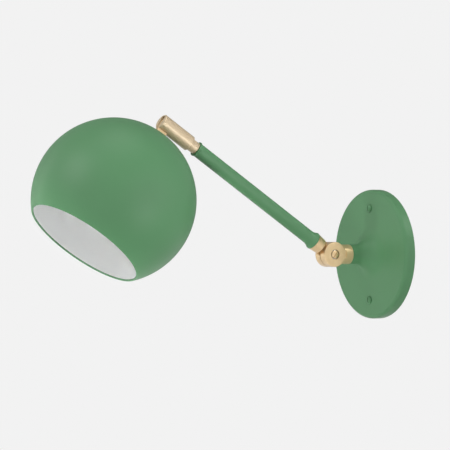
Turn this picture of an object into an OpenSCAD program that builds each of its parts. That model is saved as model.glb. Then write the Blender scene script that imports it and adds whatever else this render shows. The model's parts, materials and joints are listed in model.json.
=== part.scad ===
// Wall sconce with a straight arm and a round shade.
// The wall is the plane y = 0 and the lamp stands out of it towards -Y, with +Z up.
// The origin is the centre of the wall canopy on the wall.
// A hinge at the wall tilts the arm, and a slotted swivel at its far end tilts the shade.
// Both turn about an axis along X.

/* [Wall canopy] */
// Diameter of the canopy's rim on the wall
canopy_d = 125; // [116:1:150]
// Height of the canopy's flat face above the wall
canopy_h = 10.8; // [10:0.1:14]
// Rounding between the canopy's face and its side
canopy_edge_r = 3.5; // [2.5:0.5:6]
// Sheet thickness of the canopy
canopy_wall = 1.2; // [0.8:0.1:1.6]
// Diameter of the neck that rises from the canopy
neck_d = 19; // [18:0.5:24]
// Height of the neck's top above the wall
neck_h = 35; // [33:0.5:45]
// Radius of the sweep from the canopy's face into its neck
neck_sweep_r = 18; // [12:1:19]

/* [Wall fixing] */
// Distance of each canopy screw from the canopy's rim
canopy_screw_inset = 18.05; // [16:0.05:20]
// Distance between the crossbar's two wall holes
wall_hole_span = 69.85; // [60:0.05:72]
// Diameter of each wall hole in the crossbar
wall_hole_d = 4.8; // [4:0.1:5.5]
// Width of the crossbar
crossbar_w = 16; // [14:1:22]
// Thickness of the crossbar
crossbar_t = 1.9; // [1.5:0.1:3]

/* [Wall hinge] */
// Diameter of the hinge's two leaves
hinge_d = 24; // [22:0.5:28]
// Thickness of one leaf
leaf_t = 8.2; // [7:0.2:10]
// Diameter of the wall half's stem
base_stem_d = 19; // [17:0.5:22]
// Length of the wall half's stem
base_stem_l = 5.9; // [5:0.1:12]
// Diameter of the arm half's collar beside the leaf
collar_d = 15; // [14:0.1:16]
// Diameter of the arm half's collar where it meets the tube
collar_end_d = 16.6; // [16:0.1:19]
// Length of the arm half's collar
collar_l = 8.6; // [6:0.1:12]
// Shank diameter of the hinge screw
hinge_screw_d = 5; // [4:0.5:6]

/* [Arm] */
// Tilt of the arm above the horizontal, as it stands
arm_tilt = 33.65; // [20:0.05:45]
// Length of the painted tube
tube_l = 156.9; // [120:0.1:240]
// Diameter of the painted tube
tube_d = 13.3; // [12.5:0.1:14]
// Wall thickness of the painted tube
tube_wall = 1; // [0.8:0.1:1.3]
// Diameter of the lip at the tube's lower end
lower_lip_d = 17.2; // [16:0.1:20]
// Diameter of the lip at the tube's upper end
upper_lip_d = 14.9; // [14.4:0.1:17]

/* [Shade swivel] */
// Diameter of the slotted swivel body
swivel_d = 15.1; // [14.5:0.1:17]
// Length of the slotted swivel body
swivel_l = 36.6; // [30:0.2:46]
// Diameter of the turned neck below the swivel body
swivel_neck_d = 11.5; // [10.5:0.1:13]
// Length of the turned neck below the swivel body
swivel_neck_l = 8; // [5:0.5:12]
// Distance of the swivel's pivot from the end of its body
pivot_inset = 6; // [5.8:0.1:7]
// Width of the tongue across the slot's direction
tongue_w = 10.6; // [10:0.1:11]
// Thickness of the tongue
tongue_t = 4.6; // [4:0.1:5]
// Shank diameter of the swivel screw
swivel_screw_d = 4; // [3:0.5:4.5]

/* [Shade] */
// Tilt of the shade's axis below the horizontal, as it stands
shade_tilt = 52; // [48:0.5:54]
// Outer diameter of the round shade
shade_d = 152; // [140:1:170]
// Diameter of the shade's mouth
mouth_d = 114; // [96:1:120]
// Sheet thickness of the shade
shade_wall = 1; // [0.8:0.1:1.6]
// Width of the folded hem around the shade's mouth
shade_hem_w = 3; // [2:0.5:5]
// Distance from the swivel's pivot to the top of the shade
shade_drop = 12.9; // [12.5:0.1:16]

/* [Lampholder] */
// Inner diameter of the lampholder's screw shell
screw_shell_d = 26.6; // [26:0.1:27.4]
// Length of the lampholder's screw shell
screw_shell_l = 26; // [22:1:30]
// Outer diameter of the porcelain body
porcelain_d = 36; // [34:0.5:42]
// Length of the porcelain body
porcelain_l = 40; // [36:1:46]

/* [Hidden] */
$fn = 96;

// Finishes
paint_green = [0.38, 0.55, 0.41];
brass_satin = [0.79, 0.70, 0.52];
zinc_grey = [0.68, 0.69, 0.70];
washer_dark = [0.25, 0.25, 0.26];
porcelain_white = [0.93, 0.92, 0.88];
ground_green = [0.20, 0.50, 0.25];

// Overrun of a cut past the face that it opens
cut = 1;
// Gap between flat faces of two pieces that turn on each other
turn_gap = 0.1;
// Radial clearance of a screw in its hole
screw_clear = 0.05;
// Radial clearance of a threaded stem in its bush or nut
thread_clear = 0.05;
// Gap between a piece and the bore or sheet that it sits in
seat_gap = 0.05;

// Wall canopy
neck_r = neck_d / 2;
spigot_r = 4.9;
spigot_bore_r = 3;
seat_ring_t = 2.4;
seat_ring_round = 0.4;
base_washer_t = 1;
base_nut_t = 3;
base_nut_clear = 0.2;
base_nut_r = neck_r - canopy_wall - base_nut_clear;
spigot_tail = 3;
spigot_l = seat_ring_t + canopy_wall + base_washer_t + base_nut_t + spigot_tail;

// Canopy screws
canopy_screw_span = canopy_d - 2 * canopy_screw_inset;
canopy_screw_r = 2;
canopy_screw_head_r = 3.8;
canopy_screw_head_h = 2.2;
canopy_screw_dome_h = 1.3;
canopy_screw_slot_w = 0.9;
canopy_screw_slot_h = 0.8;

// Crossbar
crossbar_end = 7;
crossbar_l = canopy_screw_span + 2 * crossbar_end;
crossbar_hole_r = 7;
ground_place = 21;
ground_head_r = 3.6;
ground_head_h = 2.6;
ground_shank_r = 2;
ground_slot_w = 1;
ground_slot_h = 1;

// Wall hinge. The pivot lies off the wall by all that stands under it.
hinge_r = hinge_d / 2;
leaf_gap = 0.4;
leaf_round = 0.8;
stem_gap = 0.4;
stem_start = hinge_r + stem_gap;
collar_gap = 2.2;
collar_start = hinge_r + collar_gap;
pivot_out = neck_h + seat_ring_t + base_stem_l + stem_start;
hinge_bore_d = 9.4;
hinge_bore_h = 2.3;
leaf_face = leaf_gap + leaf_t;
hinge_floor = leaf_face - hinge_bore_h;
hinge_screw_r = hinge_screw_d / 2;
hinge_head_r = 3.8;
hinge_head_h = 2.3;
hinge_dome_h = 0.7;
hinge_slot_w = 1.1;
hinge_slot_h = 0.9;
hinge_tail_gap = 0.5;
spring_washer_t = 0.6;
spring_washer_r = 4.4;
spring_seat = hinge_floor + turn_gap;
hinge_head_seat = spring_seat + spring_washer_t;
friction_disc_r = 10;
arm_spigot_r = 4;
arm_spigot_l = 11;
arm_bore_r = 2.5;

// Arm tube, measured along the arm from the hinge's pivot
tube_start = collar_start + collar_l;
tube_end = tube_start + tube_l;
tube_r = tube_d / 2;
tube_bore_r = tube_r - tube_wall;
lower_lip_r = lower_lip_d / 2;
lower_lip_h = 2.5;
lower_flare_l = 6.1;
upper_lip_r = upper_lip_d / 2;
upper_lip_h = 2;
upper_flare_l = 1.6;
lip_round = 0.8;
bush_l = 14;

// Shade swivel, measured along the arm from the hinge's pivot
swivel_r = swivel_d / 2;
swivel_start = tube_end + swivel_neck_l;
swivel_end = swivel_start + swivel_l;
arm_l = swivel_end - pivot_inset;
swivel_chamfer = 0.6;
tongue_r = tongue_w / 2;
tongue_side_gap = 0.2;
slot_w = tongue_t + 2 * tongue_side_gap;
slot_floor_gap = 0.35;
slot_top_gap = 0.4;
slot_floor = arm_l - tongue_r - slot_floor_gap;
slot_top = tongue_r + slot_top_gap;
swivel_screw_r = swivel_screw_d / 2;
swivel_head_r = 3;
swivel_head_h = 1.6;
swivel_slot_w = 0.9;
swivel_slot_h = 0.7;
swivel_sink = 0.5;
swivel_head_seat = swivel_r - swivel_sink - swivel_head_h;
swivel_skin = 1.6;
swivel_tip_gap = 0.3;

// Tongue and the parts on its stud, measured from the swivel's pivot
seal_t = 0.8;
seal_r = 6.2;
hub_r = 6.2;
hub_h = 2.6;
hub_end = shade_drop - seal_t;
stud_r = 5;
stud_l = 12;
stud_bore_r = 3;
wire_hole_r = 1.7;
wire_hole_depth = 6.2;

// Shade
shade_r = shade_d / 2;
shade_inner_r = shade_r - shade_wall;
mouth_r = mouth_d / 2;
mouth_drop = sqrt(shade_r * shade_r - mouth_r * mouth_r);
hem_inner_r = shade_r - 2 * shade_wall;

// Lampholder, measured from the top of the shade towards its mouth
lock_washer_r = 8;
lock_washer_t = 1;
shade_nut_r = 8.1;
shade_nut_t = 3;
lock_seat = shade_wall + shade_inner_r
    - sqrt(shade_inner_r * shade_inner_r - lock_washer_r * lock_washer_r) + seat_gap;
nut_seat = lock_seat + lock_washer_t;
cap_seat = nut_seat + shade_nut_t;
cap_wall = 0.9;
cap_gap = 0.3;
cap_neck_r = 8.5;
cap_neck_h = 3;
porcelain_r = porcelain_d / 2;
cap_r = porcelain_r + cap_gap + cap_wall;
cap_dome_r = 7;
cap_skirt = 8;
cap_body_h = cap_dome_r + cap_skirt;
porcelain_seat = cap_seat + cap_neck_h + cap_dome_r;
porcelain_floor = 5;
porcelain_edge_r = 1.5;
shell_t = 0.6;
shell_gap = 0.2;
shell_r = screw_shell_d / 2;
shell_lip_drop = 2;
shell_bead_r = 0.45;
shell_pitch = 3.6;
shell_bore_r = shell_r + shell_t + shell_bead_r + shell_gap;
shell_seat = porcelain_seat + porcelain_l - shell_lip_drop - screw_shell_l;
contact_w = 6;
contact_l = 14;
contact_t = 0.6;
contact_hole_r = 7;
terminal_place = 11;
terminal_r = 2.8;
terminal_h = 1.9;
terminal_shank_r = 1.5;
terminal_shank_l = 3.5;
terminal_slot_w = 0.7;
terminal_slot_h = 0.7;

// Frames that carry the pieces

// Wall frame: +Z leads out of the wall and +Y leads up
module wall_frame() {
    rotate([90, 0, 0]) children();
}

// Arm frame: the hinge's pivot at the origin and +Z along the arm
module arm_frame() {
    wall_frame() translate([0, 0, pivot_out]) rotate([-arm_tilt, 0, 0]) children();
}

// Head frame: the swivel's pivot at the origin and the shade's mouth towards -Z
module head_frame() {
    arm_frame() translate([0, 0, arm_l]) rotate([arm_tilt + shade_tilt - 180, 0, 0]) children();
}

// Socket frame: the top of the shade at the origin and +Z towards its mouth
module socket_frame() {
    head_frame() translate([0, 0, -shade_drop]) rotate([180, 0, 0]) children();
}

// Shapes that several pieces share

// A flat ring
module ring(r, bore_r, h) {
    difference() {
        cylinder(h = h, r = r);
        translate([0, 0, -cut]) cylinder(h = h + 2 * cut, r = bore_r);
    }
}

// A six-sided nut, r is its radius over the corners
module hex_nut(r, bore_r, h) {
    difference() {
        cylinder(h = h, r = r, $fn = 6);
        translate([0, 0, -cut]) cylinder(h = h + 2 * cut, r = bore_r);
    }
}

// A slotted screw that seats at z = 0, with a domed head above and its shank below
module slotted_screw(head_r, head_h, dome_h, shank_r, shank_l, slot_width, slot_depth) {
    dome_r = (head_r * head_r + dome_h * dome_h) / (2 * dome_h);
    difference() {
        union() {
            rotate_extrude() intersection() {
                square([head_r, head_h]);
                translate([0, head_h - dome_r]) circle(dome_r);
            }
            translate([0, 0, -shank_l]) cylinder(h = shank_l + head_h / 2, r = shank_r);
        }
        translate([-slot_width / 2, -head_r - cut, head_h - slot_depth])
            cube([slot_width, 2 * (head_r + cut), slot_depth + cut]);
    }
}

// Half section of a band from the axis out to r, with both outer corners rounded
module rounded_band(r, h, round_r) {
    square([r - round_r, h]);
    translate([0, round_r]) square([r, h - 2 * round_r]);
    translate([r - round_r, round_r]) circle(round_r);
    translate([r - round_r, h - round_r]) circle(round_r);
}

// Half section of a flare that leads from a tube of radius r at y = l out to lip_r at y = 0
module flare(r, lip_r, l) {
    rise = lip_r - r;
    flare_r = (l * l + rise * rise) / (2 * rise);
    difference() {
        square([lip_r, l]);
        translate([r + flare_r, l]) circle(flare_r);
    }
}

// Wall side

// Half section of the canopy, drawn inset from its outside
module canopy_region(inset) {
    rim_r = canopy_d / 2 - inset;
    face_h = canopy_h - inset;
    edge_r = canopy_edge_r - inset;
    sweep_r = neck_sweep_r + inset;
    square([rim_r - edge_r, face_h]);
    square([rim_r, face_h - edge_r]);
    translate([rim_r - edge_r, face_h - edge_r]) circle(edge_r);
    difference() {
        square([neck_r + neck_sweep_r, canopy_h + neck_sweep_r]);
        translate([neck_r + neck_sweep_r, canopy_h + neck_sweep_r]) circle(sweep_r);
    }
    square([neck_r - inset, neck_h - inset]);
}

module canopy() {
    color(paint_green) wall_frame() difference() {
        rotate_extrude() difference() {
            canopy_region(0);
            canopy_region(canopy_wall);
            translate([0, -cut]) square([canopy_d / 2 - canopy_wall, 2 * cut]);
        }
        translate([0, 0, neck_h - canopy_wall - cut])
            cylinder(h = canopy_wall + 2 * cut, r = spigot_r + thread_clear);
        for (side = [-1, 1])
            translate([0, side * canopy_screw_span / 2, canopy_h - canopy_wall - cut])
                cylinder(h = canopy_wall + 2 * cut, r = canopy_screw_r + screw_clear);
    }
}

// Steel strap behind the canopy, screwed to the wall box
module crossbar() {
    color(zinc_grey) wall_frame() difference() {
        translate([-crossbar_w / 2, -crossbar_l / 2, 0]) cube([crossbar_w, crossbar_l, crossbar_t]);
        translate([0, 0, -cut]) cylinder(h = crossbar_t + 2 * cut, r = crossbar_hole_r);
        for (side = [-1, 1]) {
            translate([0, side * canopy_screw_span / 2, -cut])
                cylinder(h = crossbar_t + 2 * cut, r = canopy_screw_r + thread_clear);
            translate([0, side * wall_hole_span / 2, -cut])
                cylinder(h = crossbar_t + 2 * cut, d = wall_hole_d);
        }
        translate([0, ground_place, -cut])
            cylinder(h = crossbar_t + 2 * cut, r = ground_shank_r + thread_clear);
    }
}

module canopy_screws() {
    color(paint_green) wall_frame() for (side = [-1, 1])
        translate([0, side * canopy_screw_span / 2, canopy_h])
            slotted_screw(canopy_screw_head_r, canopy_screw_head_h, canopy_screw_dome_h,
                canopy_screw_r, canopy_h, canopy_screw_slot_w, canopy_screw_slot_h);
}

// Earth screw, part way into the crossbar
module ground_screw() {
    color(ground_green) wall_frame() translate([0, ground_place, crossbar_t]) difference() {
        union() {
            cylinder(h = ground_head_h, r = ground_head_r, $fn = 6);
            translate([0, 0, -crossbar_t]) cylinder(h = crossbar_t + cut, r = ground_shank_r);
        }
        translate([-ground_slot_w / 2, -ground_head_r - cut, ground_head_h - ground_slot_h])
            cube([ground_slot_w, 2 * (ground_head_r + cut), ground_slot_h + cut]);
    }
}

// Thin ring between the canopy's neck and the hinge
module seat_ring() {
    color(brass_satin) wall_frame() translate([0, 0, neck_h]) rotate_extrude() difference() {
        rounded_band(neck_r, seat_ring_t, seat_ring_round);
        translate([0, -cut]) square([spigot_r + thread_clear, seat_ring_t + 2 * cut]);
    }
}

// Wall hinge

// One half of the hinge: a round leaf on the +X side of the pivot, and a stem along +Z
// that is whole from start on
module hinge_half(stem_d, end_d, start, stem_l) {
    translate([leaf_gap, 0, 0]) rotate([0, 90, 0]) rotate_extrude() {
        square([hinge_r - leaf_round, leaf_t]);
        square([hinge_r, leaf_t - leaf_round]);
        translate([hinge_r - leaf_round, leaf_t - leaf_round]) circle(leaf_round);
    }
    intersection() {
        cylinder(h = start + cut, d = stem_d);
        translate([leaf_gap, -stem_d / 2, 0]) cube([leaf_t, stem_d, start + cut]);
    }
    translate([0, 0, start]) cylinder(h = stem_l, d1 = stem_d, d2 = end_d);
}

// Wall half: its leaf is the one with the sunk screw head, and its spigot enters the canopy
module hinge_base() {
    stem_end = stem_start + base_stem_l;
    color(brass_satin) wall_frame() translate([0, 0, pivot_out]) rotate([180, 0, 0]) difference() {
        union() {
            hinge_half(base_stem_d, base_stem_d, stem_start, base_stem_l);
            translate([0, 0, stem_end - cut]) cylinder(h = spigot_l + cut, r = spigot_r);
        }
        rotate([0, 90, 0]) cylinder(h = leaf_face + cut, r = hinge_screw_r + screw_clear);
        translate([hinge_floor, 0, 0]) rotate([0, 90, 0]) cylinder(h = leaf_t, d = hinge_bore_d);
        translate([0, 0, stem_start - cut])
            cylinder(h = base_stem_l + spigot_l + 2 * cut, r = spigot_bore_r);
    }
}

module base_washer() {
    color(zinc_grey) wall_frame() translate([0, 0, neck_h - canopy_wall - base_washer_t])
        ring(base_nut_r, spigot_r + thread_clear, base_washer_t);
}

module base_nut() {
    color(zinc_grey) wall_frame()
        translate([0, 0, neck_h - canopy_wall - base_washer_t - base_nut_t])
            hex_nut(base_nut_r, spigot_r + thread_clear, base_nut_t);
}

// Arm half: its collar carries the tube
module hinge_arm() {
    color(brass_satin) arm_frame() rotate([0, 0, 180]) difference() {
        union() {
            hinge_half(collar_d, collar_end_d, collar_start, collar_l);
            translate([0, 0, tube_start - cut]) cylinder(h = arm_spigot_l + cut, r = arm_spigot_r);
        }
        rotate([0, 90, 0]) cylinder(h = leaf_face + cut, r = hinge_screw_r + thread_clear);
        translate([0, 0, collar_start - cut])
            cylinder(h = collar_l + arm_spigot_l + 2 * cut, r = arm_bore_r);
    }
}

module hinge_screw() {
    shank_l = hinge_head_seat + leaf_face - hinge_tail_gap;
    color(brass_satin) arm_frame() translate([hinge_head_seat, 0, 0]) rotate([0, 90, 0])
        slotted_screw(hinge_head_r, hinge_head_h, hinge_dome_h, hinge_screw_r, shank_l,
            hinge_slot_w, hinge_slot_h);
}

module hinge_spring_washer() {
    color(zinc_grey) arm_frame() translate([spring_seat, 0, 0]) rotate([0, 90, 0])
        ring(spring_washer_r, hinge_screw_r + screw_clear, spring_washer_t);
}

// Thin disc between the two leaves that holds the arm where it is put
module hinge_friction_disc() {
    color(washer_dark) arm_frame() translate([-leaf_gap, 0, 0]) rotate([0, 90, 0])
        ring(friction_disc_r, hinge_screw_r + screw_clear, 2 * leaf_gap - turn_gap);
}

// Arm

module arm_tube() {
    color(paint_green) arm_frame() translate([0, 0, tube_start]) rotate_extrude() difference() {
        union() {
            square([tube_r, tube_l]);
            rounded_band(lower_lip_r, lower_lip_h, lip_round);
            translate([0, lower_lip_h - lip_round]) flare(tube_r, lower_lip_r, lower_flare_l + lip_round);
            translate([0, tube_l - upper_lip_h]) rounded_band(upper_lip_r, upper_lip_h, lip_round);
            translate([0, tube_l - upper_lip_h + lip_round]) mirror([0, 1])
                flare(tube_r, upper_lip_r, upper_flare_l + lip_round);
        }
        translate([0, -cut]) square([tube_bore_r, tube_l + 2 * cut]);
    }
}

// Threaded bush brazed into an end of the tube
module tube_bush() {
    ring(tube_bore_r - seat_gap, arm_spigot_r + thread_clear, bush_l);
}

module lower_bush() {
    color(brass_satin) arm_frame() translate([0, 0, tube_start]) tube_bush();
}

module upper_bush() {
    color(brass_satin) arm_frame() translate([0, 0, tube_end - bush_l]) tube_bush();
}

// Shade swivel

// Slotted body: the slot is open at its end and below, and bridged on top
module swivel_body() {
    color(brass_satin) arm_frame() difference() {
        union() {
            translate([0, 0, tube_end - arm_spigot_l])
                cylinder(h = arm_spigot_l + cut, r = arm_spigot_r);
            translate([0, 0, tube_end]) cylinder(h = swivel_neck_l + cut, d = swivel_neck_d);
            translate([0, 0, swivel_start]) rotate_extrude() polygon([
                [0, 0],
                [swivel_r - swivel_chamfer, 0],
                [swivel_r, swivel_chamfer],
                [swivel_r, swivel_l - swivel_chamfer],
                [swivel_r - swivel_chamfer, swivel_l],
                [0, swivel_l]
            ]);
        }
        translate([-slot_w / 2, -swivel_d, slot_floor])
            cube([slot_w, swivel_d + slot_top, swivel_end - slot_floor + cut]);
        translate([-swivel_d, 0, arm_l]) rotate([0, 90, 0])
            cylinder(h = swivel_d + swivel_r - swivel_skin, r = swivel_screw_r + thread_clear);
        translate([-swivel_d, 0, arm_l]) rotate([0, 90, 0])
            cylinder(h = swivel_d - swivel_head_seat, r = swivel_head_r + screw_clear);
        translate([0, 0, tube_end - arm_spigot_l - cut])
            cylinder(h = slot_floor - tube_end + arm_spigot_l + 2 * cut, r = arm_bore_r);
    }
}

// Screw with its head sunk in the far ear and its tip hidden in the near one
module swivel_screw() {
    shank_l = swivel_head_seat + swivel_r - swivel_skin - swivel_tip_gap;
    color(brass_satin) arm_frame() translate([-swivel_head_seat, 0, arm_l]) rotate([0, -90, 0])
        slotted_screw(swivel_head_r, swivel_head_h, swivel_sink, swivel_screw_r, shank_l,
            swivel_slot_w, swivel_slot_h);
}

// Tongue that turns in the slot, with the hub and the hollow stud that hold the shade
module swivel_tongue() {
    color(brass_satin) head_frame() difference() {
        union() {
            translate([-tongue_t / 2, 0, 0]) rotate([0, 90, 0]) cylinder(h = tongue_t, r = tongue_r);
            translate([-tongue_t / 2, -tongue_r, -hub_end]) cube([tongue_t, tongue_w, hub_end]);
            translate([0, 0, -hub_end]) cylinder(h = hub_h, r = hub_r);
            translate([0, 0, -hub_end - stud_l]) cylinder(h = stud_l + cut, r = stud_r);
        }
        translate([-tongue_t, 0, 0]) rotate([0, 90, 0])
            cylinder(h = 2 * tongue_t, r = swivel_screw_r + screw_clear);
        translate([0, 0, -hub_end - stud_l - cut])
            cylinder(h = stud_l + hub_h / 2 + cut, r = stud_bore_r);
        translate([0, 0, -hub_end]) cylinder(h = hub_end - wire_hole_depth, r = wire_hole_r);
        translate([0, 0, -wire_hole_depth]) rotate([-90, 0, 0]) cylinder(h = tongue_w, r = wire_hole_r);
    }
}

// Fibre washer between the hub and the shade
module shade_seal() {
    color(washer_dark) head_frame() translate([0, 0, -shade_drop])
        ring(seal_r, stud_r + thread_clear, seal_t);
}

// Shade

module shade() {
    color(paint_green) socket_frame() translate([0, 0, shade_r]) rotate_extrude() difference() {
        circle(shade_r);
        intersection() {
            circle(shade_inner_r);
            translate([0, -shade_r]) square([shade_r, shade_r + mouth_drop - shade_hem_w]);
        }
        circle(hem_inner_r);
        translate([-shade_r - cut, -shade_r - cut]) square([shade_r + cut, 2 * (shade_r + cut)]);
        translate([-cut, mouth_drop]) square([shade_r + cut, shade_r]);
        translate([-cut, -shade_r - cut]) square([stud_r + thread_clear + cut, shade_r]);
    }
}

module shade_lock_washer() {
    color(zinc_grey) socket_frame() translate([0, 0, lock_seat])
        ring(lock_washer_r, stud_r + thread_clear, lock_washer_t);
}

module shade_nut() {
    color(zinc_grey) socket_frame() translate([0, 0, nut_seat])
        hex_nut(shade_nut_r, stud_r + thread_clear, shade_nut_t);
}

// Lampholder

// Half section of the cap, drawn inset from its outside
module cap_region(inset) {
    translate([0, cap_seat + inset]) square([cap_neck_r - inset, cap_neck_h + cap_dome_r]);
    translate([0, cap_seat + cap_neck_h]) {
        translate([0, inset]) square([cap_r - cap_dome_r, cap_body_h - inset]);
        translate([0, cap_dome_r]) square([cap_r - inset, cap_skirt]);
        translate([cap_r - cap_dome_r, cap_dome_r]) circle(cap_dome_r - inset);
    }
}

module socket_cap() {
    color(brass_satin) socket_frame() rotate_extrude() difference() {
        cap_region(0);
        cap_region(cap_wall);
        translate([0, cap_seat + cap_neck_h + cap_body_h - cut])
            square([cap_r - cap_wall, 2 * cut]);
        translate([0, cap_seat - cut]) square([stud_r + thread_clear, cap_neck_h + 2 * cut]);
    }
}

module socket_porcelain() {
    color(porcelain_white) socket_frame() difference() {
        translate([0, 0, porcelain_seat]) rotate_extrude() difference() {
            rounded_band(porcelain_r, porcelain_l, porcelain_edge_r);
            translate([0, porcelain_floor]) square([shell_bore_r, porcelain_l]);
        }
        for (side = [-1, 1]) translate([side * terminal_place, 0, porcelain_seat - cut])
            cylinder(h = terminal_shank_l + 2 * cut, r = terminal_shank_r + thread_clear);
    }
}

// Brass shell that the bulb screws into, with its rolled turns as beads
module socket_screw_shell() {
    turns = floor((screw_shell_l - shell_pitch) / shell_pitch);
    color(brass_satin) socket_frame() translate([0, 0, shell_seat]) {
        rotate_extrude() difference() {
            union() {
                square([shell_r + shell_t, screw_shell_l]);
                for (turn = [1 : turns])
                    translate([shell_r + shell_t, turn * shell_pitch]) circle(shell_bead_r);
            }
            translate([0, shell_t]) square([shell_r, screw_shell_l]);
            translate([0, -cut]) square([contact_hole_r, 2 * cut]);
        }
    }
}

// Spring contact on the floor of the porcelain
module socket_contact() {
    leaf_rise = shell_seat - porcelain_seat - porcelain_floor + shell_t;
    color(brass_satin) socket_frame() translate([0, 0, porcelain_seat + porcelain_floor]) {
        translate([-contact_w / 2, -contact_l / 2, 0]) cube([contact_w, contact_l, contact_t]);
        translate([-contact_w / 2, contact_t, 0]) cube([contact_w, contact_t, leaf_rise]);
        translate([-contact_w / 2, -contact_w / 2, leaf_rise - contact_t])
            cube([contact_w, contact_w / 2 + 2 * contact_t, contact_t]);
    }
}

// Two wire screws on top of the porcelain, inside the cap
module socket_terminals() {
    color(brass_satin) socket_frame() for (side = [-1, 1])
        translate([side * terminal_place, 0, porcelain_seat]) rotate([180, 0, 0])
            slotted_screw(terminal_r, terminal_h, terminal_slot_h, terminal_shank_r,
                terminal_shank_l, terminal_slot_w, terminal_slot_h);
}

canopy();
crossbar();
canopy_screws();
ground_screw();
seat_ring();
hinge_base();
base_washer();
base_nut();
hinge_arm();
hinge_screw();
hinge_spring_washer();
hinge_friction_disc();
arm_tube();
lower_bush();
upper_bush();
swivel_body();
swivel_screw();
swivel_tongue();
shade_seal();
shade();
shade_lock_washer();
shade_nut();
socket_cap();
socket_porcelain();
socket_screw_shell();
socket_contact();
socket_terminals();
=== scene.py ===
import bpy, bmesh, json, math
from mathutils import Matrix, Vector


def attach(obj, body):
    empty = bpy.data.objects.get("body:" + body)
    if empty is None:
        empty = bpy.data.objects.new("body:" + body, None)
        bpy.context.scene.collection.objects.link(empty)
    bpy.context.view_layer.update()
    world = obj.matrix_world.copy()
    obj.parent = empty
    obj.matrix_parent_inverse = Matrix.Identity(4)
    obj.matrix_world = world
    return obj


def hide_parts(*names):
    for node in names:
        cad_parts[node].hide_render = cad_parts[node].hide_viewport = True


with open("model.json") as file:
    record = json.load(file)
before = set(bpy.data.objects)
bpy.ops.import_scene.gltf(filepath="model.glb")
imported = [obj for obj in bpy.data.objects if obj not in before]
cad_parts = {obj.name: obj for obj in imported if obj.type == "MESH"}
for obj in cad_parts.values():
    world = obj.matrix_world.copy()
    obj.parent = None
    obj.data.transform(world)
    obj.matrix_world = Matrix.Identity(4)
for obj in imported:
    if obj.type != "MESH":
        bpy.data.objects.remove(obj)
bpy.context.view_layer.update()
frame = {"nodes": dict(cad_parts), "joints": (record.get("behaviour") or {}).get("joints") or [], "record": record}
print("frame loaded:", len(frame["nodes"]), "nodes")

mm = 0.001  # the pieces' own sizes are in millimetres, and Blender's are in metres
pivotAt = {j["name"]: Vector(j["pos_m"]) for j in frame["joints"]}
mountAt = {m["name"]: m for m in frame["record"]["mounts"]}
wallPivot = pivotAt["arm_pivot"]
shadePivot = pivotAt["shade_pivot"]
armAxis = (shadePivot - wallPivot).normalized()
shadeAxis = Vector(mountAt["bulb_socket"]["axis"]).normalized()  # out of the shade's mouth
wallAxis = Vector((0, -1, 0))  # out of the wall
hingeAxis = Vector((1, 0, 0))


def addNode(nodes, kind, **values):
    # each value sets a property of the node or, where it has none, the input of that name
    node = nodes.new(kind)
    for key, value in values.items():
        if hasattr(node, key):
            setattr(node, key, value)
        else:
            node.inputs[key.replace("_", " ")].default_value = value
    return node


def addObject(name, data):
    item = bpy.data.objects.new(name, data)
    bpy.context.scene.collection.objects.link(item)
    return item


cameraSetup = dict(
    place=(2.1798, -1.46784, 0.02825), clip=(0.05, 60),  # metres
    azimuth=59.3,  # degrees round to the right from straight in front of the wall
    lens=216, sensor=36,  # millimetres
)


def makeCamera(c):
    data = bpy.data.cameras.new("photoCamera")
    data.lens, data.sensor_width = c["lens"], c["sensor"]
    data.clip_start, data.clip_end = c["clip"]
    camera = addObject("photoCamera", data)
    camera.location = c["place"]
    camera.rotation_euler = (math.radians(90), 0, math.radians(c["azimuth"]))
    bpy.context.scene.camera = camera
    print("camera ready")


makeCamera(cameraSetup)
viewAngle = math.radians(cameraSetup["azimuth"])
viewRight = Vector((math.cos(viewAngle), math.sin(viewAngle), 0))
viewBack = Vector((math.sin(viewAngle), -math.cos(viewAngle), 0))
viewUp = Vector((0, 0, 1))

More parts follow.
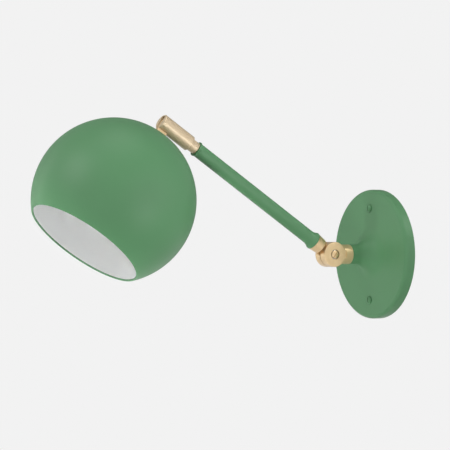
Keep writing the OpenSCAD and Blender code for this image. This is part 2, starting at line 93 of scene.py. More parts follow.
studio = dict(
    paperGrey=0.888,  # what the camera sees behind the lamp
    paperInGloss=0.1,  # reflections show this share of the paper and the rest from the dome
    ambient=0.83,
    # ways as the camera sees them (right, up, towards the camera), and how much light each
    # adds or takes away
    dome=dict(
        fromRight=((1, 0, 0), -0.2),
        fromLeft=((-1, 0, 0), 0.5),
        fromAbove=((0, 1, 0), -0.2),
        fromBelow=((0, -1, 0), -0.2),
        fromFront=((0, 0, 1), 0.228),
        fromBehind=((0, 0, -1), -0.2),
        fromBehindLeft=((-0.5, 0.35, -0.8), -0.4),  # darkens the shade's outline
    ),
    # aim, way towards the light (right, up, towards the camera), distance, width and height in
    # metres, power, spread in degrees where it is narrow, and False where nothing mirrors it
    softboxes=dict(
        swivelSpot=((0, -0.2374, 0.121), (0.65, -0.36, 0.65), 0.5, 0.22, 0.22, 0.028, 30),
        neckFill=((0, -0.02, -0.01), (-0.35, -0.35, 0.85), 0.6, 0.3, 0.3, 0.04, 34, False),
        canopyFill=((0, 0, 0), (-0.6, -0.75, 0.3), 0.6, 0.09, 0.09, 0.019, 22, False),
        hingeSpot=((0, -0.0557, 0), (0.72, 0.655, 0.214), 0.5, 0.12, 0.12, 0.014, 30),
        nearTop=((0, -0.292, 0.05), (0.1, 1, 0.1), 0.7, 0.5, 0.5, 0.951),
        nearRight=((0, -0.292, 0.05), (1, 0.2, 0.3), 0.6, 0.35, 0.5, 0.193),
        frontRightLow=((0, -0.25, 0.08), (0.6, -0.45, 0.65), 1.2, 0.5, 0.5, 0.45),
        rightSoft=((0, -0.31, 0.06), (0.75, 0.1, 0.65), 0.5, 0.45, 0.45, 0.21, 60, False),
        rightLow=((0, -0.31, 0.06), (0.95, 0.1, 0.1), 0.5, 0.35, 0.35, 0.0648, 60, False),
        mouthFillBack=(
            (0, -0.3231, 0.0113), (-0.62, -0.78, -0.1), 0.45, 0.2, 0.2, 0.23, 40, False),
        leftHigh=((0, -0.292, 0.08), (-0.7, 0.6, 0.4), 0.6, 0.4, 0.4, 0.326, 90),
        stripLeftBack=((0, -0.292, 0.05), (-0.85, 0.1, -0.5), 0.9, 0.2, 1, 0.675),
    ),
)


def asSeen(right, up, back):
    return viewRight * right + viewUp * up + viewBack * back


def makeSoftbox(name, aim, way, distance, width, height, power, spread=180, inGloss=True):
    towards = asSeen(*way).normalized()
    data = bpy.data.lights.new(name, "AREA")
    data.shape, data.size, data.size_y, data.energy = "RECTANGLE", width, height, power
    data.spread = math.radians(spread)
    light = addObject(name, data)
    light.location = Vector(aim) + towards * distance
    light.rotation_euler = towards.to_track_quat("Z", "Y").to_euler()
    light.visible_camera = False
    light.visible_glossy = inGloss


def seenStraight(nodes, links, inGloss=1):
    # 1 for the camera's own rays and those through glass, and for reflected ones what is asked
    path = nodes.new("ShaderNodeLightPath")
    total = path.outputs["Is Camera Ray"]
    for kind, share in (("Is Glossy Ray", inGloss), ("Is Transmission Ray", 1)):
        part = addNode(nodes, "ShaderNodeMath", operation="MULTIPLY")
        part.inputs[1].default_value = share
        links.new(path.outputs[kind], part.inputs[0])
        larger = addNode(nodes, "ShaderNodeMath", operation="MAXIMUM")
        links.new(total, larger.inputs[0])
        links.new(part.outputs[0], larger.inputs[1])
        total = larger.outputs[0]
    return total


def makeWorld(s):
    world = bpy.data.worlds.new("studio")
    bpy.context.scene.world = world
    world.use_nodes = True
    nodes, links = world.node_tree.nodes, world.node_tree.links
    nodes.clear()
    coords = nodes.new("ShaderNodeTexCoord")
    strength = None
    for way, amount in s["dome"].values():
        # one soft side of the dome of light, strongest straight along its direction
        facing = addNode(nodes, "ShaderNodeVectorMath", operation="DOT_PRODUCT")
        facing.inputs[1].default_value = asSeen(*way)
        links.new(coords.outputs["Generated"], facing.inputs[0])
        lobe = addNode(nodes, "ShaderNodeMath", operation="MAXIMUM")
        lobe.inputs[1].default_value = 0
        links.new(facing.outputs["Value"], lobe.inputs[0])
        total = addNode(nodes, "ShaderNodeMath", operation="MULTIPLY_ADD")
        total.inputs[1].default_value = amount
        total.inputs[2].default_value = s["ambient"]
        links.new(lobe.outputs[0], total.inputs[0])
        if strength is not None:
            links.new(strength, total.inputs[2])
        strength = total.outputs[0]
    glow = nodes.new("ShaderNodeBackground")
    links.new(strength, glow.inputs["Strength"])
    paper = addNode(nodes, "ShaderNodeBackground", Color=(s["paperGrey"],) * 3 + (1,))
    mix = nodes.new("ShaderNodeMixShader")
    out = nodes.new("ShaderNodeOutputWorld")
    links.new(seenStraight(nodes, links, s["paperInGloss"]), mix.inputs[0])
    links.new(glow.outputs[0], mix.inputs[1])
    links.new(paper.outputs[0], mix.inputs[2])
    links.new(mix.outputs[0], out.inputs[0])


floorSizes = dict(
    drop=1.6, half=5, colour=(0.76, 0.76, 0.76), roughness=0.9,
    paperShare=0.8, fade=(1.5, 4.5),  # metres from the middle, between which it turns to paper
)


def makeFloor(f, paperGrey):
    half = f["half"]
    mesh = bpy.data.meshes.new("studioFloor")
    corners = [(-half, -half, 0), (half, -half, 0), (half, half, 0), (-half, half, 0)]
    mesh.from_pydata(corners, [], [(0, 1, 2, 3)])
    floor = addObject("studioFloor", mesh)
    floor.location.z = -f["drop"]
    look = bpy.data.materials.new("floorPaper")
    look.use_nodes = True
    nodes, links = look.node_tree.nodes, look.node_tree.links
    plain = nodes["Principled BSDF"]
    plain.inputs["Base Color"].default_value = f["colour"] + (1,)
    plain.inputs["Roughness"].default_value = f["roughness"]
    paper = addNode(nodes, "ShaderNodeEmission", Color=(paperGrey,) * 3 + (1,))
    # near the lamp the floor keeps part of its own look, with the shadow, and further out none
    coords = nodes.new("ShaderNodeTexCoord")
    away = addNode(nodes, "ShaderNodeVectorMath", operation="LENGTH")
    links.new(coords.outputs["Object"], away.inputs[0])
    fade = addNode(nodes, "ShaderNodeMapRange", interpolation_type="SMOOTHSTEP")
    fade.inputs["From Min"].default_value, fade.inputs["From Max"].default_value = f["fade"]
    fade.inputs["To Min"].default_value = f["paperShare"]
    fade.inputs["To Max"].default_value = 1
    links.new(away.outputs["Value"], fade.inputs["Value"])
    share = addNode(nodes, "ShaderNodeMath", operation="MULTIPLY")
    links.new(seenStraight(nodes, links), share.inputs[0])
    links.new(fade.outputs[0], share.inputs[1])
    mix = nodes.new("ShaderNodeMixShader")
    links.new(share.outputs[0], mix.inputs[0])
    links.new(plain.outputs[0], mix.inputs[1])
    links.new(paper.outputs[0], mix.inputs[2])
    links.new(mix.outputs[0], nodes["Material Output"].inputs["Surface"])
    mesh.materials.append(look)


bpy.context.scene.view_settings.view_transform = "Standard"
makeWorld(studio)
makeFloor(floorSizes, studio["paperGrey"])
for boxName, boxSpec in studio["softboxes"].items():
    makeSoftbox(boxName, *boxSpec)
print("studio ready")


def placeAt(origin, axis):
    # a frame with Z along axis and X along the lamp's own X, or along Y for a piece lying across
    lyingAcross = 0.9
    z = axis.normalized()
    side = Vector((1, 0, 0)) if abs(z.x) < lyingAcross else Vector((0, 1, 0))
    x = (side - z * side.dot(z)).normalized()
    y = z.cross(x)
    turn = Matrix((x, y, z)).transposed().to_4x4()
    return Matrix.Translation(origin) @ turn


def finishMesh(mesh, sharpAngle=35):
    mesh.shade_smooth()
    mesh.set_sharp_from_angle(angle=math.radians(sharpAngle))


def flattenModifiers(piece, name):
    graph = bpy.context.evaluated_depsgraph_get()
    mesh = bpy.data.meshes.new_from_object(piece.evaluated_get(graph))
    old = piece.data
    piece.modifiers.clear()
    piece.data = mesh
    mesh.name = name
    if old.users == 0:
        bpy.data.meshes.remove(old)


def bendCorners(points, steps):
    # points are (radius, height, corner rounding) of a closed outline, in millimetres
    path = []
    count = len(points)
    for i, (x, y, rounding) in enumerate(points):
        if rounding <= 0:
            path.append((x, y))
            continue
        here = Vector((x, y))
        back = (Vector(points[i - 1][:2]) - here).normalized()
        ahead = (Vector(points[(i + 1) % count][:2]) - here).normalized()
        half = back.angle(ahead) / 2
        reach = rounding / math.tan(half)
        middle = here + (back + ahead).normalized() * (rounding / math.sin(half))
        start = here + back * reach - middle
        sweep = start.angle_signed(here + ahead * reach - middle)
        for k in range(steps + 1):
            a = -sweep * k / steps
            path.append((
                middle.x + start.x * math.cos(a) - start.y * math.sin(a),
                middle.y + start.x * math.sin(a) + start.y * math.cos(a),
            ))
    return path


def onArc(cx, cy, radius, degrees):
    a = math.radians(degrees)
    return (cx + radius * math.cos(a), cy + radius * math.sin(a))


def arcPath(cx, cy, radius, fromDeg, toDeg, steps):
    sweep = toDeg - fromDeg
    return [onArc(cx, cy, radius, fromDeg + sweep * k / steps) for k in range(steps + 1)]


def newGeometryTree(name, sizes):
    # sizes are the (name, kind) of the tree's own inputs, which a modifier finds by identifier
    tree = bpy.data.node_groups.new(name, "GeometryNodeTree")
    sockets, inputs = tree.interface, {}
    sockets.new_socket("Geometry", in_out="INPUT", socket_type="NodeSocketGeometry")
    for label, kind in sizes:
        socket = sockets.new_socket(label, in_out="INPUT", socket_type="NodeSocket" + kind)
        inputs[label] = socket.identifier
    sockets.new_socket("Geometry", in_out="OUTPUT", socket_type="NodeSocketGeometry")
    return tree, inputs


def turningNodes():
    # sweeps a closed outline round a small circle, as a lathe would; its height runs along -Y
    tree, inputs = newGeometryTree("turnedShape", (
        ("Turns", "Int"), ("Core Radius", "Float"),
        ("Outer Finish", "Material"), ("Inner Finish", "Material"),
    ))
    nodes, links = tree.nodes, tree.links
    source, result = nodes.new("NodeGroupInput"), nodes.new("NodeGroupOutput")
    outline = nodes.new("GeometryNodeMeshToCurve")
    circle = nodes.new("GeometryNodeCurvePrimitiveCircle")
    sweep = nodes.new("GeometryNodeCurveToMesh")
    zone = addNode(nodes, "GeometryNodeInputNamedAttribute", data_type="FLOAT", Name="innerZone")
    inner = nodes.new("FunctionNodeCompare")
    inner.inputs[1].default_value = 0.99  # a face counts only if all its corners lie inside
    real = nodes.new("GeometryNodeRealizeInstances")
    outerPaint = nodes.new("GeometryNodeSetMaterial")
    innerPaint = nodes.new("GeometryNodeSetMaterial")
    links.new(source.outputs["Geometry"], outline.inputs["Mesh"])
    links.new(source.outputs["Turns"], circle.inputs["Resolution"])
    links.new(source.outputs["Core Radius"], circle.inputs["Radius"])
    links.new(circle.outputs["Curve"], sweep.inputs["Curve"])
    links.new(outline.outputs["Curve"], sweep.inputs["Profile Curve"])
    links.new(sweep.outputs["Mesh"], real.inputs["Geometry"])
    links.new(real.outputs["Geometry"], outerPaint.inputs["Geometry"])
    links.new(source.outputs["Outer Finish"], outerPaint.inputs["Material"])
    links.new(zone.outputs["Attribute"], inner.inputs[0])
    links.new(inner.outputs["Result"], innerPaint.inputs["Selection"])
    links.new(outerPaint.outputs["Geometry"], innerPaint.inputs["Geometry"])
    links.new(source.outputs["Inner Finish"], innerPaint.inputs["Material"])
    links.new(innerPaint.outputs["Geometry"], result.inputs[0])
    return tree, inputs


turnedTree, turnedInputs = turningNodes()
turning = dict(core=1.0, weld=1e-6, shortest=1e-7)  # millimetres, metres, metres


def turnShape(name, outline, place, finishes, turns, innerFrom=None):
    # outline is a closed loop of (radius, height) in millimetres; its points from number
    # innerFrom on get the second finish
    core = turning["core"]
    mesh = bpy.data.meshes.new(name)
    count = len(outline)
    points = [((radius - core) * mm, -height * mm, 0) for radius, height in outline]
    mesh.from_pydata(points, [(i, (i + 1) % count) for i in range(count)], [])
    zone = mesh.attributes.new("innerZone", "FLOAT", "POINT")
    for i in range(count):
        zone.data[i].value = 1.0 if innerFrom is not None and i >= innerFrom else 0.0
    piece = addObject(name, mesh)
    lathe = piece.modifiers.new("lathe", "NODES")
    lathe.node_group = turnedTree
    lathe[turnedInputs["Turns"]] = turns
    lathe[turnedInputs["Core Radius"]] = core * mm
    lathe[turnedInputs["Outer Finish"]] = finishes[0]
    lathe[turnedInputs["Inner Finish"]] = finishes[-1]
    flattenModifiers(piece, name)
    bm = bmesh.new()
    bm.from_mesh(piece.data)
    bmesh.ops.remove_doubles(bm, verts=bm.verts, dist=turning["weld"])
    bmesh.ops.dissolve_degenerate(bm, dist=turning["shortest"], edges=bm.edges)
    bmesh.ops.recalc_face_normals(bm, faces=bm.faces)
    bm.transform(place)
    bm.to_mesh(piece.data)
    bm.free()
    zone = piece.data.attributes.get("innerZone")
    if zone:
        piece.data.attributes.remove(zone)
    finishMesh(piece.data)
    return piece


machining = dict(
    weld=2e-6,  # metres
    flat=0.6,  # degrees between two faces that count as one
    corner=28,  # degrees between faces, above which their edge is broken
    areaWeight=100,  # keeps the large faces flat beside the broken edges
)


def machinedCopy(node, name, edge, steps):
    # a CAD piece with its machined edges broken, by edge millimetres
    mesh = frame["nodes"][node].data.copy()
    mesh.name = name
    mesh.materials.clear()
    bm = bmesh.new()
    bm.from_mesh(mesh)
    bmesh.ops.remove_doubles(bm, verts=bm.verts, dist=machining["weld"])
    bmesh.ops.dissolve_limit(
        bm, angle_limit=math.radians(machining["flat"]), verts=bm.verts, edges=bm.edges)
    bm.to_mesh(mesh)
    bm.free()
    mesh.shade_smooth()
    piece = addObject(name, mesh)
    bevel = piece.modifiers.new("brokenEdges", "BEVEL")
    bevel.width, bevel.segments = edge * mm, steps
    bevel.limit_method, bevel.angle_limit = "ANGLE", math.radians(machining["corner"])
    flats = piece.modifiers.new("flatFaces", "WEIGHTED_NORMAL")
    flats.mode, flats.weight, flats.keep_sharp = "FACE_AREA", machining["areaWeight"], True
    flattenModifiers(piece, name)
    return piece


noiseRange = (0.3, 0.7)  # nearly all of a noise's values lie between these


def newFinish(name):
    look = bpy.data.materials.new(name)
    look.use_nodes = True
    tree = look.node_tree
    return look, tree.nodes, tree.links, tree.nodes["Principled BSDF"]


def pieceCoords(nodes, links, origin, axis):
    # Object coordinates, turned so that Z runs along the piece's own axis
    coords = nodes.new("ShaderNodeTexCoord")
    mapping = addNode(nodes, "ShaderNodeMapping", vector_type="TEXTURE")
    place = placeAt(Vector(origin), axis)
    mapping.inputs["Location"].default_value = place.to_translation()
    mapping.inputs["Rotation"].default_value = place.to_euler()
    links.new(coords.outputs["Object"], mapping.inputs["Vector"])
    return mapping.outputs["Vector"]


def addClouds(nodes, links, shader, coords, e):
    # the colour and its deeper shade, in soft clouds
    cloud = addNode(nodes, "ShaderNodeTexNoise", Scale=e["cloudScale"], Detail=e["cloudDetail"])
    links.new(coords, cloud.inputs["Vector"])
    mix = addNode(nodes, "ShaderNodeMix", data_type="RGBA")
    mix.inputs["A"].default_value = e["deeper"] + (1,)
    mix.inputs["B"].default_value = e["colour"] + (1,)
    links.new(cloud.outputs["Fac"], mix.inputs["Factor"])
    links.new(mix.outputs["Result"], shader.inputs["Base Color"])
    return cloud


def varyRoughness(nodes, links, shader, noise, roughness):
    ranged = nodes.new("ShaderNodeMapRange")
    for key, number in zip(("From Min", "From Max", "To Min", "To Max"), noiseRange + roughness):
        ranged.inputs[key].default_value = number
    links.new(noise.outputs["Fac"], ranged.inputs["Value"])
    links.new(ranged.outputs["Result"], shader.inputs["Roughness"])


def addBump(nodes, links, shader, noise, strength, depth):
    bump = addNode(nodes, "ShaderNodeBump", Strength=strength, Distance=depth)
    links.new(noise.outputs["Fac"], bump.inputs["Height"])
    links.new(bump.outputs["Normal"], shader.inputs["Normal"])


# scales are per metre, and depths in metres
enamelLook = dict(
    colour=(0.088, 0.229, 0.105), deeper=(0.081, 0.216, 0.097),
    cloudScale=38.0, cloudDetail=3.0, cloudRoughness=0.55,
    roughness=(0.38, 0.46), gloss=0.3,
    peelScale=1400.0, peelDetail=1.5, peelRoughness=0.45, peelDepth=0.00002, peelStrength=0.22,
)


def makeEnamel(name, e):
    look, nodes, links, shader = newFinish(name)
    coords = nodes.new("ShaderNodeTexCoord")
    cloud = addClouds(nodes, links, shader, coords.outputs["Object"], e)
    cloud.inputs["Roughness"].default_value = e["cloudRoughness"]
    varyRoughness(nodes, links, shader, cloud, e["roughness"])
    peel = addNode(
        nodes, "ShaderNodeTexNoise",
        Scale=e["peelScale"], Detail=e["peelDetail"], Roughness=e["peelRoughness"])
    links.new(coords.outputs["Object"], peel.inputs["Vector"])
    addBump(nodes, links, shader, peel, e["peelStrength"], e["peelDepth"])
    shader.inputs["Specular IOR Level"].default_value = e["gloss"]
    return look


# the shade's inside, the fibre washers and the porcelain
grainedLook = dict(
    cloudScale=30.0, cloudDetail=2.0, grainDetail=2.0, grainStrength=0.2, grainDepth=0.00003,
)
insideLook = dict(
    grainedLook, colour=(0.955, 0.965, 0.965), deeper=(0.94, 0.95, 0.95),
    roughness=0.62, grainScale=900.0,
)
fibreLook = dict(
    grainedLook, colour=(0.035, 0.034, 0.036), deeper=(0.02, 0.02, 0.022),
    roughness=0.8, grainScale=2600.0, grainDepth=0.00004,
)
porcelainLook = dict(
    grainedLook, colour=(0.84, 0.83, 0.78), deeper=(0.80, 0.785, 0.73),
    roughness=0.16, grainScale=220.0,
)


def makeGrained(name, e):
    look, nodes, links, shader = newFinish(name)
    coords = nodes.new("ShaderNodeTexCoord")
    addClouds(nodes, links, shader, coords.outputs["Object"], e)
    grain = addNode(nodes, "ShaderNodeTexNoise", Scale=e["grainScale"], Detail=e["grainDetail"])
    links.new(coords.outputs["Object"], grain.inputs["Vector"])
    addBump(nodes, links, shader, grain, e["grainStrength"], e["grainDepth"])
    shader.inputs["Roughness"].default_value = e["roughness"]
    return look


brassLook = dict(
    colour=(0.83, 0.625, 0.365), deeper=(0.69, 0.49, 0.255), cloudScale=160.0, cloudDetail=3.0,
    roughness=(0.28, 0.38), ringScale=5200.0, ringDetail=2.5, ringDepth=0.000012,
    ringStrength=0.28, metallic=0.75, lacquer=0.3, lacquerRoughness=0.15,
)
# the swivel is brushed rather than polished
swivelLook = dict(
    brassLook, colour=(0.65, 0.52, 0.35), deeper=(0.57, 0.44, 0.275),
    roughness=(0.38, 0.48), ringStrength=0.2, metallic=0.4,
)
zincLook = dict(
    brassLook, colour=(0.52, 0.53, 0.54), deeper=(0.44, 0.45, 0.47),
    roughness=(0.30, 0.42), ringScale=2600.0, ringDepth=0.00001, ringStrength=0.2,
    metallic=1, lacquer=0, lacquerRoughness=0.03,
)
earthLook = dict(
    brassLook, colour=(0.045, 0.22, 0.07), deeper=(0.03, 0.17, 0.05),
    roughness=(0.3, 0.4), ringScale=3000.0, ringDepth=0.00001, ringStrength=0.2,
    metallic=0.6, lacquer=0.3, lacquerRoughness=0.2,
)


def makeTurnedMetal(name, e, origin, axis):
    # fine rings round the axis on which the piece was turned
    look, nodes, links, shader = newFinish(name)
    local = pieceCoords(nodes, links, origin, axis)
    addClouds(nodes, links, shader, local, e)
    split = nodes.new("ShaderNodeSeparateXYZ")
    links.new(local, split.inputs[0])
    flat = nodes.new("ShaderNodeCombineXYZ")
    links.new(split.outputs["X"], flat.inputs["X"])
    links.new(split.outputs["Y"], flat.inputs["Y"])
    away = addNode(nodes, "ShaderNodeVectorMath", operation="LENGTH")
    links.new(flat.outputs[0], away.inputs[0])
    along = addNode(nodes, "ShaderNodeMath", operation="ADD")
    links.new(split.outputs["Z"], along.inputs[0])
    links.new(away.outputs["Value"], along.inputs[1])
    rings = addNode(
        nodes, "ShaderNodeTexNoise", noise_dimensions="1D",
        Scale=e["ringScale"], Detail=e["ringDetail"])
    links.new(along.outputs[0], rings.inputs["W"])
    varyRoughness(nodes, links, shader, rings, e["roughness"])
    addBump(nodes, links, shader, rings, e["ringStrength"], e["ringDepth"])
    shader.inputs["Metallic"].default_value = e["metallic"]
    shader.inputs["Coat Weight"].default_value = e["lacquer"]
    shader.inputs["Coat Roughness"].default_value = e["lacquerRoughness"]
    return look


greenEnamel = makeEnamel("greenEnamel", enamelLook)
whiteInside = makeGrained("whiteInside", insideLook)
brassAcross = makeTurnedMetal("brassTurnedAcross", brassLook, wallPivot, hingeAxis)
brassWall = makeTurnedMetal("brassTurnedWall", brassLook, (0, 0, 0), wallAxis)
brassArm = makeTurnedMetal("brassTurnedArm", swivelLook, wallPivot, armAxis)
brassHead = makeTurnedMetal("brassTurnedHead", brassLook, shadePivot, shadeAxis)
zincPlate = makeTurnedMetal("zincPlate", zincLook, (0, 0, 0), hingeAxis)
darkFibre = makeGrained("darkFibre", fibreLook)
whitePorcelain = makeGrained("whitePorcelain", porcelainLook)
earthGreen = makeTurnedMetal("earthGreen", earthLook, (0, 0, 0), wallAxis)
print("finishes ready")


def dress(piece, body, slotName, finishes, *replaced):
    # turned pieces come with their finishes on
    for finish in finishes:
        piece.data.materials.append(finish)
    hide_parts(*replaced)
    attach(piece, body)


def dressMachined(node, name, body, slotName, finish, edge, steps=2):
    # a CAD piece gives way to its own copy with broken edges
    dress(machinedCopy(node, name, edge, steps), body, slotName, [finish], node)


def paintNode(node, finish):
    # a small inner piece that stays as CAD made it
    for place in frame["nodes"][node].material_slots:
        place.material = finish


# wall side: a spun canopy on its strap, with two screws and the front leaf of the hinge
canopySizes = dict(
    radius=62.5, height=10.8, edge=3.5, sheet=1.2,
    neckRadius=9.5, neckHeight=35, sweep=18, hole=4.95,
    rimRound=0.35, neckRound=0.5, innerRound=0.3,
    sweepSteps=28, cornerSteps=8, turns=192,
)


def makeCanopy(c):
    sweepX, sweepY = c["neckRadius"] + c["sweep"], c["height"] + c["sweep"]
    sheet = c["sheet"]
    outerSweep = arcPath(sweepX, sweepY, c["sweep"], 270, 180, c["sweepSteps"])
    innerSweep = arcPath(sweepX, sweepY, c["sweep"] + sheet, 180, 270, c["sweepSteps"])
    outline = bendCorners([
        (c["radius"], 0, c["rimRound"]),
        (c["radius"], c["height"], c["edge"]),
        *[(x, y, 0) for x, y in outerSweep],
        (c["neckRadius"], c["neckHeight"], c["neckRound"]),
        (c["hole"], c["neckHeight"], 0),
        (c["hole"], c["neckHeight"] - sheet, 0),
        (c["neckRadius"] - sheet, c["neckHeight"] - sheet, c["innerRound"]),
        *[(x, y, 0) for x, y in innerSweep],
        (c["radius"] - sheet, c["height"] - sheet, c["edge"] - sheet),
        (c["radius"] - sheet, 0, c["rimRound"]),
    ], c["cornerSteps"])
    place = placeAt(Vector((0, 0, 0)), wallAxis)
    return turnShape("canopyShell", outline, place, [greenEnamel], c["turns"])


dress(makeCanopy(canopySizes), "wall_part", "paint", [], "canopy")

canopyScrewSizes = dict(
    count=2, span=88.9, seat=10.8,
    head=3.8, rise=2.2, dome=1.3, domeShare=0.96, domeSteps=8, shoulder=0.12, chamfer=0.15,
    shank=2, length=10.8, pitch=0.7, threadStart=0.3, threadDepth=0.32, tip=0.3,
    slot=0.9, slotDepth=0.8, overcut=1, turns=48, sharpAngle=30,
)


def makeScrewTemplate(name, s, finish):
    # a domed head on a threaded shank, seated at z = 0, with its slot along Y
    head, shank, top, bottom = s["head"], s["shank"], s["rise"], -s["length"]
    domeRadius = (head ** 2 + s["dome"] ** 2) / (2 * s["dome"])
    reach = math.degrees(math.asin(head / domeRadius))
    domeFrom, domeTo = 90 - reach / (s["domeSteps"] + 1), 90 - reach * s["domeShare"]
    outline = [(0, top)]
    outline += arcPath(0, top - domeRadius, domeRadius, domeFrom, domeTo, s["domeSteps"])
    outline += [(head, top - s["dome"] - s["shoulder"]), (head, s["chamfer"])]
    outline += [(head - s["chamfer"], 0), (shank, 0)]
    depth = -s["threadStart"]
    while depth > bottom + s["pitch"]:
        outline += [(shank, depth), (shank - s["threadDepth"], depth - s["pitch"] / 2)]
        depth -= s["pitch"]
    outline += [(shank - s["tip"], bottom), (0, bottom)]
    screw = turnShape(name, outline, Matrix.Identity(4), [finish], s["turns"])
    cutter = bpy.data.meshes.new("slotCutter")
    w, r = s["slot"] / 2 * mm, (head + s["overcut"]) * mm
    d, t = (top - s["slotDepth"]) * mm, (top + s["overcut"]) * mm
    cutter.from_pydata(
        [(-w, -r, d), (w, -r, d), (w, r, d), (-w, r, d),
         (-w, -r, t), (w, -r, t), (w, r, t), (-w, r, t)], [],
        [(0, 3, 2, 1), (4, 5, 6, 7), (0, 1, 5, 4), (1, 2, 6, 5), (2, 3, 7, 6), (3, 0, 4, 7)])
    knife = addObject("slotCutter", cutter)
    cut = screw.modifiers.new("slot", "BOOLEAN")
    cut.operation, cut.solver, cut.object = "DIFFERENCE", "EXACT", knife
    flattenModifiers(screw, name)
    bpy.data.objects.remove(knife)
    finishMesh(screw.data, s["sharpAngle"])
    return screw


def screwRowNodes(name, template, finish):
    # a row of screws along Y, whose two ends are a named span apart
    tree, inputs = newGeometryTree(name, (("Span", "Float"), ("Count", "Int")))
    nodes, links = tree.nodes, tree.links
    source, result = nodes.new("NodeGroupInput"), nodes.new("NodeGroupOutput")
    row = addNode(nodes, "GeometryNodeMeshLine", mode="END_POINTS")
    for side, socket in ((-0.5, "Start Location"), (0.5, "Offset")):
        half = addNode(nodes, "ShaderNodeMath", operation="MULTIPLY")
        half.inputs[1].default_value = side
        end = nodes.new("ShaderNodeCombineXYZ")
        links.new(source.outputs["Span"], half.inputs[0])
        links.new(half.outputs[0], end.inputs["Y"])
        links.new(end.outputs[0], row.inputs[socket])
    shape = addNode(nodes, "GeometryNodeObjectInfo", Object=template)
    place = nodes.new("GeometryNodeInstanceOnPoints")
    real = nodes.new("GeometryNodeRealizeInstances")
    paint = addNode(nodes, "GeometryNodeSetMaterial", Material=finish)
    links.new(source.outputs["Count"], row.inputs["Count"])
    links.new(row.outputs["Mesh"], place.inputs["Points"])
    links.new(shape.outputs["Geometry"], place.inputs["Instance"])
    links.new(place.outputs["Instances"], real.inputs["Geometry"])
    links.new(real.outputs["Geometry"], paint.inputs["Geometry"])
    links.new(paint.outputs["Geometry"], result.inputs[0])
    return tree, inputs


def makeScrewPair(name, s, finish):
    template = makeScrewTemplate(name + "Template", s, finish)
    tree, inputs = screwRowNodes(name + "Nodes", template, finish)
    pair = addObject(name, bpy.data.meshes.new(name))
    row = pair.modifiers.new("screwRow", "NODES")
    row.node_group = tree
    row[inputs["Span"]] = s["span"] * mm
    row[inputs["Count"]] = s["count"]
    flattenModifiers(pair, name)
    pair.data.transform(placeAt(Vector((0, -s["seat"] * mm, 0)), wallAxis))
    bpy.data.objects.remove(template)
    finishMesh(pair.data, s["sharpAngle"])
    return pair


canopyScrews = makeScrewPair("canopyScrewPair", canopyScrewSizes, greenEnamel)
dress(canopyScrews, "wall_part", "paint", [], "canopy_screws")

dressMachined("crossbar", "wallStrap", "wall_part", "zinc", zincPlate, edge=0.3)
dressMachined("ground_screw", "earthScrew", "wall_part", "ground_green", earthGreen, edge=0.2)
dressMachined("seat_ring", "neckRing", "wall_part", "brass", brassWall, edge=0.15)
dressMachined("hinge_base", "frontLeaf", "wall_part", "brass", brassAcross, edge=0.3, steps=3)
paintNode("base_washer", zincPlate)
paintNode("base_nut", zincPlate)
print("wall side ready")


# arm: the back leaf of the hinge, the tube and the swivel
dressMachined("hinge_arm", "backLeaf", "arm", "brass", brassAcross, edge=0.3, steps=3)
dressMachined("hinge_screw", "leafScrew", "arm", "brass", brassAcross, edge=0.15)
paintNode("hinge_spring_washer", zincPlate)
paintNode("hinge_friction_disc", darkFibre)
paintNode("lower_bush", brassArm)
paintNode("upper_bush", brassArm)

tubeSizes = dict(
    start=22.8, length=156.9, radius=6.65, bore=5.65,
    lowerLip=8.6, lowerLipHeight=2.5, lowerFlare=6.1, lowerSteps=16,
    upperLip=7.45, upperLipHeight=2.0, upperFlare=1.6, upperSteps=8,
    lipRound=0.8, boreRound=0.3, cornerSteps=5, turns=192,
)


def flarePath(radius, lip, length, base, direction, steps):
    # from the lip out to the tube, a hollow sweep that ends flush with the tube
    rise = lip - radius
    sweep = (length ** 2 + rise ** 2) / (2 * rise)
    path = []
    for k in range(steps + 1):
        h = length * k / steps
        out = radius + sweep - math.sqrt(sweep ** 2 - (length - h) ** 2)
        path.append((out, base + direction * h))
    return path


def makeTube(t):
    lipRound = t["lipRound"]
    low = t["lowerLipHeight"] - lipRound
    high = t["length"] - t["upperLipHeight"] + lipRound
    lowerFlare = flarePath(
        t["radius"], t["lowerLip"], t["lowerFlare"] + lipRound, low, 1, t["lowerSteps"])
    upperFlare = flarePath(
        t["radius"], t["upperLip"], t["upperFlare"] + lipRound, high, -1, t["upperSteps"])
    corners = [(t["bore"], 0, t["boreRound"]), (t["lowerLip"], 0, lipRound)]
    corners += [(x, y, 0) for x, y in lowerFlare + upperFlare[::-1]]
    corners += [(t["upperLip"], t["length"], lipRound), (t["bore"], t["length"], t["boreRound"])]
    outline = bendCorners(corners, t["cornerSteps"])
    place = placeAt(wallPivot + armAxis * t["start"] * mm, armAxis)
    return turnShape("armTubing", outline, place, [greenEnamel], t["turns"])


dress(makeTube(tubeSizes), "arm", "paint", [], "arm_tube")
dressMachined("swivel_body", "slottedSwivel", "arm", "brass", brassArm, edge=0.25, steps=3)
dressMachined("swivel_screw", "earScrew", "arm", "brass", brassAcross, edge=0.12)
print("arm ready")


# head: the shade on its tongue, and the lampholder inside it
shadeSizes = dict(
    drop=12.9, radius=76, mouth=57, sheet=1, hem=3, hole=5.05,
    lipShare=0.9, hemStepShare=0.55,  # shares of the sheet
    hemStepAngle=0.35, insideAngle=0.8,  # degrees past the end of the hem
    outsideSteps=120, rollSteps=10, hemSteps=4, insideSteps=116, turns=224,
    greenRollSteps=8,  # the green goes round the lip this far, and ends just inside it
)


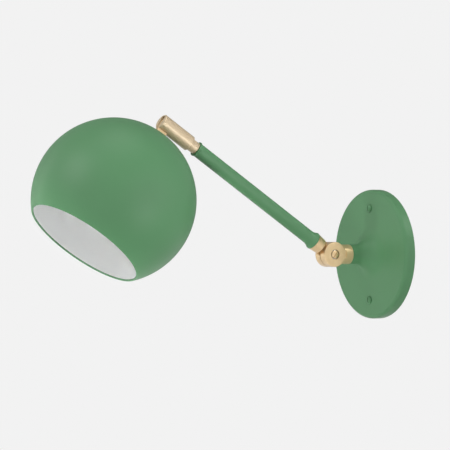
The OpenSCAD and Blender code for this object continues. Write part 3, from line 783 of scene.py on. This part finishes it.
def makeShade(s):
    # a spun sphere whose lip is rolled inwards and lies as a hem against the inside
    sheet, outer = s["sheet"], s["radius"]
    inner, hemInner = outer - sheet, outer - 2 * sheet
    middle = s["drop"] + outer
    lipAngle = math.degrees(math.acos(s["mouth"] / outer))
    lipAngle -= math.degrees(sheet * s["lipShare"] / outer)
    hemEnd = lipAngle - math.degrees(s["hem"] / outer)
    holeOut = -math.degrees(math.acos(s["hole"] / outer))
    holeIn = -math.degrees(math.acos(s["hole"] / inner))
    lipX, lipY = onArc(0, middle, inner, lipAngle)
    outside = arcPath(0, middle, outer, holeOut, lipAngle, s["outsideSteps"])
    roll = arcPath(lipX, lipY, sheet, lipAngle, lipAngle + 180, s["rollSteps"])[1:-1]
    hem = arcPath(0, middle, hemInner, lipAngle, hemEnd, s["hemSteps"])
    stepRadius = hemInner + sheet * s["hemStepShare"]
    hemStep = onArc(0, middle, stepRadius, hemEnd - s["hemStepAngle"])
    inside = arcPath(0, middle, inner, hemEnd - s["insideAngle"], holeIn, s["insideSteps"])
    outline = outside + roll + hem + [hemStep] + inside
    return turnShape(
        "roundShade", outline, placeAt(shadePivot, shadeAxis), [greenEnamel, whiteInside],
        s["turns"], innerFrom=len(outside) + s["greenRollSteps"])


dress(makeShade(shadeSizes), "head", "shade_paint", [], "shade")
dressMachined("swivel_tongue", "shadeTongue", "head", "brass", brassHead, edge=0.2)
paintNode("shade_seal", darkFibre)
paintNode("shade_lock_washer", zincPlate)
paintNode("shade_nut", zincPlate)
paintNode("socket_contact", brassHead)

holderSizes = dict(
    shellStart=27.478, shellLength=26, shellRadius=13.9, rolled=0.42, sheet=0.3, pitch=3.6,
    sides=96, stepsPerTurn=12, sharpAngle=50,
    runOutSteps=8,  # over which the thread fades at both ends
)


def makeScrewShell(h):
    # thin brass sheet with the bulb's thread rolled into it: the radius follows a helix
    sides, runOut = h["sides"], h["runOutSteps"]
    steps = int(h["shellLength"] / h["pitch"] * h["stepsPerTurn"])
    bm = bmesh.new()
    walls = []
    for offset in (h["sheet"] / 2, -h["sheet"] / 2):
        rings = []
        for i in range(steps + 1):
            height = h["shellLength"] * i / steps
            fade = min(1, i / runOut, (steps - i) / runOut)
            ring = []
            for k in range(sides):
                a = 2 * math.pi * k / sides
                wave = math.cos(2 * math.pi * height / h["pitch"] - a)
                r = (h["shellRadius"] + h["rolled"] * fade * wave + offset) * mm
                ring.append(bm.verts.new((r * math.cos(a), r * math.sin(a), height * mm)))
            rings.append(ring)
        walls.append(rings)
    outer, inner = walls
    strips = list(zip(outer, outer[1:])) + list(zip(inner, inner[1:]))
    strips += [(outer[0], inner[0]), (outer[-1], inner[-1])]
    for lower, upper in strips:
        for k in range(sides):
            n = (k + 1) % sides
            bm.faces.new((lower[k], lower[n], upper[n], upper[k]))
    bmesh.ops.recalc_face_normals(bm, faces=bm.faces)
    start = (shadeSizes["drop"] + h["shellStart"]) * mm
    bm.transform(placeAt(shadePivot + shadeAxis * start, shadeAxis))
    mesh = bpy.data.meshes.new("threadedShell")
    bm.to_mesh(mesh)
    bm.free()
    finishMesh(mesh, h["sharpAngle"])
    return addObject("threadedShell", mesh)


dress(makeScrewShell(holderSizes), "head", "brass", [brassHead], "socket_screw_shell")
dressMachined("socket_cap", "holderCap", "head", "brass", brassHead, edge=0.25, steps=3)
dressMachined(
    "socket_porcelain", "holderBody", "head", "porcelain", whitePorcelain, edge=0.6, steps=3)
dressMachined("socket_terminals", "holderTerminals", "head", "brass", brassHead, edge=0.15)
print("shade and lampholder ready")
